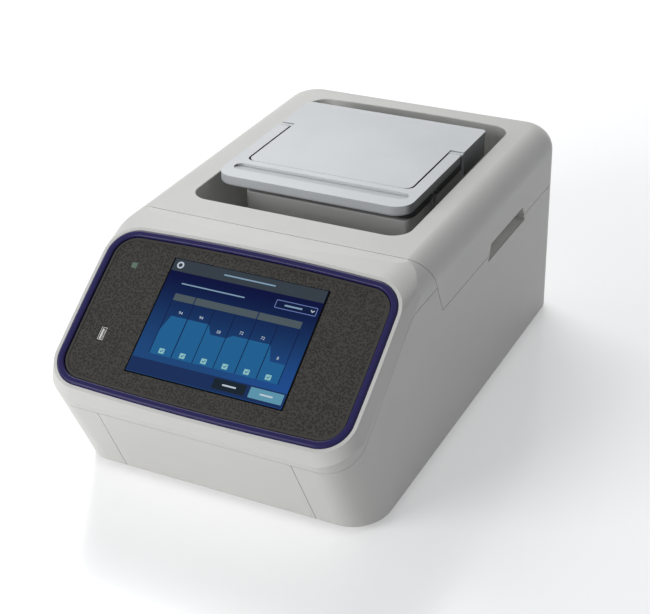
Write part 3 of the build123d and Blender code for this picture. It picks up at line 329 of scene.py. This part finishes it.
def speckled(name, colour):
    """Textured film of the control panel: close dark pebbles in a grey ground, with a plain raised rim."""
    f = Finish(name, Specular_IOR_Level=0.2)
    out, lip = panel_axes()[1:]
    field = f.along(out) - lip.dot(out) < -FIELD_DEPTH
    pebble = f.cells(470.0) + (f.noise(520.0, 2.0) - 0.5) * 0.3
    patch = f.noise(640.0, 2.0, 0.6)
    mask = pebble.ramp(0.66, 0.34) * patch.ramp(0.26, 0.46) * field
    light = f.noise(1300.0, 2.0).ramp(0.50, 0.72) * 0.5
    ground = f.mix(light, shade(colour, 1.25), shade(colour, 1.7))
    f.set(Base_Color=f.mix(mask * 0.9, ground, shade(colour, 0.30)), Roughness=0.36 + mask * 0.22)
    f.bump(1 - mask, 0.5, 0.00012)


def painted_silver(name, colour):
    """Silver paint on metal: fine flake and faint orange peel, with painted shade that darkens the faces to
    the sides.
    """
    f = Finish(name, Metallic=0.3)
    flake = f.cells(5200.0)
    drift = f.noise(14.0, 2.0).ramp(0.3, 0.7)
    across = f.node("ShaderNodeSeparateXYZ", {}, f.node("ShaderNodeNewGeometry", {}, output="Normal"))
    # Painted shade: faces that turn to the sides take the silver darkened to 0.22 of its colour
    side_shade = across.math("ABSOLUTE").ramp(0.75, 0.97)
    top = f.mix(drift, shade(colour, 0.94), colour)
    f.set(Base_Color=f.mix(side_shade, top, shade(colour, 0.22)), Roughness=0.46 + flake * 0.08)
    f.bump(f.noise(900.0, 2.0) + flake * 0.4, 0.18, 0.00003)


def brushed(name, colour, roughness=0.3, grain=(18.0, 900.0, 900.0)):
    """Rolled or brushed metal; the lowest of the grain's three scales is along its lines."""
    f = Finish(name, Metallic=1.0)
    lines = f.noise(1.0, 4.0, 0.65, f.stretched(grain))
    stain = f.noise(23.0, 3.0)
    f.set(Base_Color=f.mix(lines.ramp(0.3, 0.7) * 0.6 + stain * 0.3, shade(colour, 0.82), colour))
    f.set(Roughness=lines * 0.16 + (roughness - 0.08) + stain * 0.05)
    f.bump(lines, 0.2, 0.00004)


def screen_picture(name, low, high):
    """Lit screen behind glossy glass: navy at the head, mid blue at the foot, black past its edges."""
    f = Finish(name, Specular_IOR_Level=0.03)
    up, _, lip = panel_axes()
    rise = (f.along(up) - lip.dot(up)) * (1 / MM)
    across = f.along((1 / MM, 0.0, 0.0))
    ground = f.mix(rise.ramp(150.0, 48.0), high, low)
    glow = across.ramp(-20.0, 95.0) * rise.ramp(105.0, 40.0)
    ground = f.mix(glow * 0.55, ground, (0.012, 0.075, 0.34))
    sides = across.ramp(-79.2, -78.6) * across.ramp(82.0, 81.4)
    inside = sides * rise.ramp(36.2, 36.8) * rise.ramp(156.4, 156.0)
    f.set(Base_Color=f.mix(inside, (0.002, 0.002, 0.002), (0.001, 0.002, 0.004)))
    f.set(Emission_Color=f.mix(inside, (0.0, 0.0, 0.0), ground), Emission_Strength=1.0)
    f.set(Roughness=f.noise(60.0) * 0.03 + 0.05)


def lit_ink(name, colour):
    """One colour of the screen's picture, shining through the glass."""
    f = Finish(name, Roughness=0.06, Specular_IOR_Level=0.03, Emission_Strength=1.0)
    grain = f.noise(1900.0, 1.0)
    low = shade(colour, 0.93)
    f.set(Emission_Color=f.mix(grain.ramp(0.35, 0.65), low, colour))
    f.set(Base_Color=f.mix(grain, shade(low, 0.05), shade(colour, 0.05)))


def foam(name, colour):
    """Open foam of the air filter, with painted shade in its pores."""
    f = Finish(name, Roughness=0.95, Specular_IOR_Level=0.2)
    pores = f.cells(700.0)
    # Painted shade: the pores take the foam's colour darkened to 0.3
    f.set(Base_Color=f.mix(pores.ramp(0.1, 0.6), shade(colour, 0.3), colour))
    f.bump(pores, 0.9, 0.0005)


def circuit(name, colour):
    """Solder mask with faint tracks."""
    f = Finish(name, Specular_IOR_Level=0.5)
    tracks = f.cells(190.0, "DISTANCE_TO_EDGE")
    pale = tuple(c * 1.9 + 0.01 for c in colour)
    f.set(Base_Color=f.mix(tracks.ramp(0.06, 0.02), colour, pale))
    f.set(Roughness=f.noise(60.0) * 0.15 + 0.28)
    f.bump(tracks.ramp(0.02, 0.06), 0.3, 0.00006)


FINISH_OF_SLOT = {
    "shell": "housing_plastic", "ring": "ring_plastic", "panel": "panel_film",
    "screen": "lit_screen", "cover": "silver_paint", "dark_plastic": "black_plastic",
    "module": "module_plastic", "aluminium": "machined_alloy", "steel": "zinc_sheet",
    "bright_steel": "bright_steel", "brass": "pin_brass", "rubber": "rubber_black",
    "foam": "filter_foam", "board": "board_mask", "ceramic": "ceramic_white",
    "light": "light_pipe",
}
# Nodes whose finish isn't that of their slot
FINISH_OF_NODE = {"cover_frame": "frame_plastic", "usb_tongue": "ceramic_white"}


class CYCLER_OT_finishes(bpy.types.Operator):
    """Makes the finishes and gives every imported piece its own"""
    bl_idname = "cycler.finishes"
    bl_label = "Finishes"

    def execute(self, context):
        c = colours()
        moulded("housing_plastic", tuple(c.shell))
        moulded("ring_plastic", tuple(c.ring), roughness=0.3, grain=2600, depth=0.00001, gloss=0.2)
        speckled("panel_film", tuple(c.panel))
        painted_silver("silver_paint", tuple(c.silver))
        moulded("module_plastic", tuple(c.module), roughness=0.4)
        moulded("black_plastic", (0.022, 0.022, 0.023), roughness=0.45)
        moulded("frame_plastic", (0.030, 0.030, 0.031), roughness=0.45)
        moulded("ceramic_white", (0.80, 0.79, 0.74), roughness=0.5)
        moulded("rubber_black", (0.020, 0.020, 0.020), roughness=0.78, grain=1200, depth=0.00008)
        moulded("light_pipe", (0.10, 0.17, 0.12), roughness=0.22, depth=0.00001)
        brushed("zinc_sheet", (0.62, 0.62, 0.60), roughness=0.36)
        brushed("machined_alloy", (0.80, 0.80, 0.81), roughness=0.27, grain=(700.0, 60.0, 700.0))
        brushed("bright_steel", (0.72, 0.72, 0.73), roughness=0.18, grain=(400.0, 400.0, 60.0))
        brushed("pin_brass", (0.80, 0.66, 0.38), roughness=0.22)
        foam("filter_foam", (0.05, 0.05, 0.052))
        circuit("board_mask", (0.020, 0.130, 0.055))
        screen_picture("lit_screen", tuple(c.screen_low), tuple(c.screen_high))
        for part in frame["record"]["subparts"]:
            node = part["node"]
            mesh = NODES[node].data
            mesh.materials.clear()
            mesh.materials.append(
                finish_named(FINISH_OF_NODE.get(node) or FINISH_OF_SLOT[part["material_slot"]]))
        return {"FINISHED"}


# Pieces that are made here

def link_mesh(name, bm):
    """Makes an object of a filled bmesh."""
    mesh = bpy.data.meshes.new(name)
    bm.to_mesh(mesh)
    bm.free()
    piece = bpy.data.objects.new(name, mesh)
    bpy.context.scene.collection.objects.link(piece)
    return piece


def add_piece(name, mesh_maker, finish, body, slot, smooth=None, recalculate=True):
    """Builds a bmesh piece, gives it a finish and lets it ride on a body."""
    bm = bmesh.new()
    mesh_maker(bm)
    if recalculate:
        bmesh.ops.recalc_face_normals(bm, faces=bm.faces)
    piece = link_mesh(name, bm)
    mesh = piece.data
    if smooth is not None:
        mesh.shade_smooth()
        mesh.set_sharp_from_angle(angle=math.radians(smooth))
    mesh.materials.append(finish_named(finish))
    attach(piece, body)
    return piece


def raise_faces(bm, faces, height):
    """Makes a plate of flat faces."""
    raised = bmesh.ops.extrude_face_region(bm, geom=faces)
    tops = [v for v in raised["geom"] if isinstance(v, bmesh.types.BMVert)]
    bmesh.ops.translate(bm, verts=tops, vec=(0, 0, height))


def outline_plate(bm, points, height):
    """Plate of a closed outline."""
    raise_faces(bm, [bm.faces.new([bm.verts.new((x, y, 0)) for x, y in points])], height)


def rounded_plate(bm, box, height):
    """Plate of a box that is given by its left, right, foot, head and corner radius."""
    left, right, foot, head, corner = box
    place = Matrix.Translation(((left + right) / 2, (foot + head) / 2, 0))
    spread = Matrix.Diagonal(((right - left) / 2, (head - foot) / 2, 1, 1))
    others = set(bm.faces)
    corners = bmesh.ops.create_grid(bm, x_segments=1, y_segments=1, size=1.0, matrix=place @ spread)["verts"]
    bmesh.ops.bevel(bm, geom=corners, affect="VERTICES", offset=corner, segments=5, profile=0.5,
                    material=-1)
    raise_faces(bm, [face for face in bm.faces if face not in others], height)


# The screen's picture. Its places are in millimetres, across from the middle and up from the lip.

INKS = {
    "ink_title": (0.036, 0.048, 0.062),
    "ink_tab": (0.070, 0.095, 0.110),
    "ink_step": (0.014, 0.112, 0.275),
    "ink_foot": (0.010, 0.028, 0.100),
    "ink_line": (0.14, 0.20, 0.45),
    "ink_rule": (0.004, 0.010, 0.050),
    "ink_dark": (0.010, 0.018, 0.028),
    "ink_teal": (0.105, 0.290, 0.400),
    "ink_white": (0.50, 0.58, 0.66),
    "ink_soft": (0.22, 0.34, 0.46),
    "ink_check": (0.25, 0.50, 0.52),
}

# Temperature steps as left, right and top, with the height that the first rises from and each slope's run
STEPS = ((-63.5, -41.2, 98.3), (-40.0, -18.8, 98.3), (-18.0, 3.2, 89.0), (4.0, 25.2, 93.0),
         (26.2, 47.2, 93.0), (48.2, 69.2, 77.4))
STEPS_FOOT = 58.0
STEPS_START = 82.0
STEP_RUN = 5.5
RULES = (-63.9, -40.6, -18.4, 3.6, 25.7, 47.7, 69.6)
TABS = ((-63.6, -42.0), (-41.0, 24.4), (25.4, 69.2))
LIST_MARK = ((72.2, 134.0), (74.3, 131.9), (76.4, 134.0), (75.7, 134.6), (74.3, 133.2), (72.9, 134.6))
CHECKS = (-52.2, -30.2, -7.8, 14.2, 36.4, 58.4)
TICK = ((-1.5, 62.2), (-0.9, 62.9), (-0.2, 62.1), (1.4, 64.0), (1.9, 63.5), (-0.2, 61.0))

# Middle, height and words
FIGURES = ((-50.0, 101.5, "94"), (-28.0, 101.5, "94"), (-5.5, 91.9, "58"), (16.5, 96.0, "72"),
           (38.5, 96.0, "72"), (60.0, 80.6, "8"))
FIGURE_SIZE = 4.2
FIGURE_LAYER = 3

ROUND_BUTTON_PLACE = (-71.2, 150.0, 0)
ROUND_BUTTON_RADII = (3.6, 2.1)
ROUND_BUTTON_SIDES = 40
ROUND_BUTTON_LAYER = 3


def step_outlines():
    """Outlines of the temperature steps, each sloped from the height of the one before."""
    outlines = []
    before = STEPS_START
    for left, right, top in STEPS:
        start = [(left, top)] if before == top else [(left + STEP_RUN, top), (left, before)]
        outlines.append([(left, STEPS_FOOT), (right, STEPS_FOOT), (right, top), *start])
        before = top
    return outlines


def uprights(middles, half, foot, head, corner):
    """Like boxes at several places across."""
    return [(x - half, x + half, foot, head, corner) for x in middles]


# Name, ink, layer, boxes as left, right, foot, head and corner radius, and other outlines
PLATES = (
    ("picture_title_bar", "ink_title", 1, [(-78.6, 81.2, 143.4, 156.0, 0.3)], []),
    ("picture_foot_bar", "ink_foot", 1, [(-78.6, 81.2, 37.0, 51.5, 0.3)], []),
    ("picture_tabs", "ink_tab", 1, [(*tab, 114.0, 121.2, 0.5) for tab in TABS], []),
    ("picture_steps", "ink_step", 1, [], step_outlines()),
    ("picture_rules", "ink_rule", 2, uprights(RULES, 0.35, STEPS_FOOT, 113.8, 0.1), []),
    ("picture_list_edge", "ink_line", 1, [(36.6, 78.6, 129.0, 137.6, 1.2)], []),
    ("picture_list_field", "ink_rule", 2, [(37.3, 77.9, 129.7, 136.9, 0.8)], []),
    ("picture_list_mark", "ink_white", 3, [], [LIST_MARK]),
    ("picture_list_text", "ink_soft", 3, [(46.0, 64.0, 132.4, 134.0, 0.4)], []),
    ("picture_button_dark", "ink_dark", 2, [(9.5, 42.5, 39.8, 50.2, 0.6)], []),
    ("picture_button_teal", "ink_teal", 2, [(46.6, 79.9, 39.8, 50.2, 0.6)], []),
    ("picture_button_marks", "ink_white", 3,
     [(19.0, 33.0, 44.4, 45.9, 0.5), (57.0, 70.0, 44.4, 45.9, 0.5)], []),
    ("picture_title_line", "ink_soft", 2, [(-24.0, 30.0, 149.2, 150.6, 0.5)], []),
    ("picture_hint_line", "ink_soft", 2, [(-62.0, 5.0, 131.4, 132.6, 0.4)], []),
    ("picture_checks", "ink_check", 3, uprights(CHECKS, 2.8, 59.8, 65.0, 0.5), []),
    ("picture_ticks", "ink_step", 4, [], [[(x + step, up) for step, up in TICK] for x in CHECKS]),
)


def glass_frame():
    """Matrix from across, up and out of the glass in millimetres to the object's frame in metres."""
    up, out, lip = panel_axes()
    turn = Matrix((Vector((1, 0, 0)), up, out)).transposed().to_4x4()
    return Matrix.Translation(lip - out * sizes().glass_sink) @ turn @ Matrix.Diagonal((MM, MM, MM, 1))


def layer_height(layer):
    """Height above the glass, in millimetres, of a layer of the picture."""
    return layer * sizes().print_step / MM


def add_print(name, mesh_maker, ink, **options):
    """A piece of the picture, drawn flat and laid on the glass."""
    def laid(bm):
        mesh_maker(bm)
        bmesh.ops.transform(bm, matrix=glass_frame(), verts=bm.verts)
    add_piece(name, laid, ink, "base", "screen", **options)


class CYCLER_OT_picture(bpy.types.Operator):
    """Lays the generic picture of the touch screen on its glass"""
    bl_idname = "cycler.picture"
    bl_label = "Screen picture"

    def plates(self, bm, layer, boxes, outlines):
        """The boxes and other outlines of one piece."""
        height = layer_height(layer)
        for box in boxes:
            rounded_plate(bm, box, height)
        for points in outlines:
            outline_plate(bm, points, height)

    def round_button(self, bm):
        """Flat ring in the title bar."""
        for radius in ROUND_BUTTON_RADII:
            bmesh.ops.create_circle(bm, cap_ends=False, radius=radius, segments=ROUND_BUTTON_SIDES)
        bmesh.ops.bridge_loops(bm, edges=bm.edges)
        raise_faces(bm, list(bm.faces), layer_height(ROUND_BUTTON_LAYER))
        bmesh.ops.translate(bm, verts=bm.verts, vec=ROUND_BUTTON_PLACE)

    def figures(self, bm):
        """Plain numbers, made of the built-in typeface and turned to a mesh."""
        for x, up, words in FIGURES:
            curve = bpy.data.curves.new("figures_type", "FONT")
            curve.body = words
            curve.size = FIGURE_SIZE
            curve.align_x = "CENTER"
            curve.extrude = layer_height(1)
            holder = bpy.data.objects.new("figures_type", curve)
            bpy.context.scene.collection.objects.link(holder)
            bpy.context.view_layer.update()
            mesh = bpy.data.meshes.new_from_object(holder)
            mesh.transform(Matrix.Translation((x, up, layer_height(FIGURE_LAYER))))
            bm.from_mesh(mesh)
            bpy.data.objects.remove(holder)
            bpy.data.curves.remove(curve)
            bpy.data.meshes.remove(mesh)

    def execute(self, context):
        for name, colour in INKS.items():
            lit_ink(name, colour)
        for name, ink, layer, boxes, outlines in PLATES:
            add_print(name, lambda bm: self.plates(bm, layer, boxes, outlines), ink)
        add_print("picture_round_button", self.round_button, "ink_white")
        add_print("picture_figures", self.figures, "ink_white", recalculate=False)
        return {"FINISHED"}


class CYCLER_OT_springs(bpy.types.Operator):
    """Winds the four platen springs"""
    bl_idname = "cycler.springs"
    bl_label = "Platen springs"

    def execute(self, context):
        low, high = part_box("platen_springs")
        wire = sizes().spring_wire / 2
        reach = sizes().spring_radius
        turns = sizes().spring_turns
        rise = high[2] - low[2] - 2 * wire
        steps = int(turns * TURN_STEPS)
        places = [(x, y) for x in (low[0] + reach + wire, high[0] - reach - wire)
                  for y in (low[1] + reach + wire, high[1] - reach - wire)]

        def coils(bm):
            upright = Matrix.Rotation(math.pi / 2, 4, "X")
            for x, y in places:
                ring = bmesh.ops.create_circle(bm, cap_ends=False, radius=wire, segments=WIRE_SIDES)["verts"]
                stand = Matrix.Translation((x + reach, y, low[2] + wire)) @ upright
                bmesh.ops.transform(bm, matrix=stand, verts=ring)
                edges = list({edge for vert in ring for edge in vert.link_edges})
                bmesh.ops.spin(bm, geom=ring + edges, cent=(x, y, 0), axis=(0, 0, 1),
                               dvec=(0, 0, rise / steps), angle=turns * 2 * math.pi, steps=steps)
            bmesh.ops.holes_fill(bm, edges=[edge for edge in bm.edges if edge.is_boundary], sides=0)
        piece = add_piece("wound_platen_springs", coils, "bright_steel", "heated_cover", "bright_steel",
                          smooth=SPRING_SMOOTH)
        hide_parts("platen_springs")
        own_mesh(piece)
        return {"FINISHED"}


class CYCLER_OT_stage(bpy.types.Operator):
    """Sets up the floor, the soft lights and the camera"""
    bl_idname = "cycler.stage"
    bl_label = "Stage"

    def floor(self):
        """Pale floor that shows near white and keeps the object's shadow."""
        bm = bmesh.new()
        bmesh.ops.create_grid(bm, x_segments=1, y_segments=1, size=FLOOR_HALF)
        piece = link_mesh("studio_floor", bm)
        f = Finish("floor_white", Base_Color=FLOOR_COLOUR, Roughness=0.2, Specular_IOR_Level=0.35)
        f.set(Emission_Color=f.mix(f.seen_directly(), (0, 0, 0), FLOOR_GLOW), Emission_Strength=1.0)
        piece.data.materials.append(f.material)

    def world(self):
        """Soft light all round, white where it is seen directly."""
        world = bpy.data.worlds.new("studio")
        bpy.context.scene.world = world
        world.use_nodes = True
        shop = Shop(world.node_tree)
        soft = shop.node("ShaderNodeBackground", {}, WORLD_COLOUR, WORLD_STRENGTH)
        plain = shop.node("ShaderNodeBackground", {}, (1, 1, 1))
        shown = shop.node("ShaderNodeMixShader", {}, shop.seen_directly(), soft, plain)
        shop.close("ShaderNodeOutputWorld", shown)

    def camera(self):
        """The photograph's view."""
        yaw, pitch, roll = (math.radians(a) for a in CAMERA_TURN)
        ahead = Vector((-math.sin(yaw) * math.cos(pitch), math.cos(yaw) * math.cos(pitch), -math.sin(pitch)))
        level = Vector((math.cos(yaw), math.sin(yaw), 0.0))
        down = ahead.cross(level)
        right = math.cos(roll) * level + math.sin(roll) * down
        below = math.cos(roll) * down - math.sin(roll) * level
        data = bpy.data.cameras.new("photo_camera")
        data.lens = FOCAL_PIXELS / FRAME_PIXELS * SENSOR_WIDTH
        data.sensor_width = SENSOR_WIDTH
        data.clip_start, data.clip_end = 0.05, 50
        camera = bpy.data.objects.new("photo_camera", data)
        bpy.context.scene.collection.objects.link(camera)
        turn = Matrix((right, -below, -ahead)).transposed().to_4x4()
        camera.matrix_world = Matrix.Translation(CAMERA_PLACE) @ turn
        bpy.context.scene.camera = camera

    def lamp(self, name, place, aim, size, power):
        """Rectangular lamp that looks at a point."""
        data = bpy.data.lights.new(name, "AREA")
        data.shape = "RECTANGLE"
        data.size, data.size_y = size
        data.energy = power
        lamp = bpy.data.objects.new(name, data)
        bpy.context.scene.collection.objects.link(lamp)
        lamp.location = place
        lamp.rotation_mode = "QUATERNION"
        lamp.rotation_quaternion = (Vector(aim) - Vector(place)).to_track_quat("-Z", "Y")

    def execute(self, context):
        context.scene.view_settings.view_transform = "Standard"
        self.floor()
        self.world()
        self.camera()
        for lamp in LAMPS:
            self.lamp(*lamp)
        return {"FINISHED"}


class CYCLER_PT_panel(bpy.types.Panel):
    """Lists the steps of the dressing"""
    bl_idname = "CYCLER_PT_panel"
    bl_label = "Thermal cycler"
    bl_space_type = "VIEW_3D"
    bl_region_type = "UI"
    bl_category = "Cycler"

    def draw(self, context):
        for step in STEPS_IN_ORDER:
            self.layout.operator(step.bl_idname)
        for group in (context.scene.cycler_sizes, context.scene.cycler_colours):
            for name in group.__annotations__:
                self.layout.prop(group, name)


STEPS_IN_ORDER = (CYCLER_OT_stage, CYCLER_OT_finishes, CYCLER_OT_picture, CYCLER_OT_springs)
CLASSES = (CyclerSizes, CyclerColours, *STEPS_IN_ORDER, CYCLER_PT_panel)


def register():
    """Adds the classes and the scene's two groups of properties."""
    for item in CLASSES:
        bpy.utils.register_class(item)
    bpy.types.Scene.cycler_sizes = PointerProperty(type=CyclerSizes)
    bpy.types.Scene.cycler_colours = PointerProperty(type=CyclerColours)


def unregister():
    """Takes them away again."""
    del bpy.types.Scene.cycler_sizes
    del bpy.types.Scene.cycler_colours
    for item in reversed(CLASSES):
        bpy.utils.unregister_class(item)


def main():
    """Dresses the object."""
    register()
    bpy.ops.cycler.stage()
    bpy.ops.cycler.finishes()
    bpy.ops.cycler.picture()
    bpy.ops.cycler.springs()


if __name__ == "__main__":
    main()
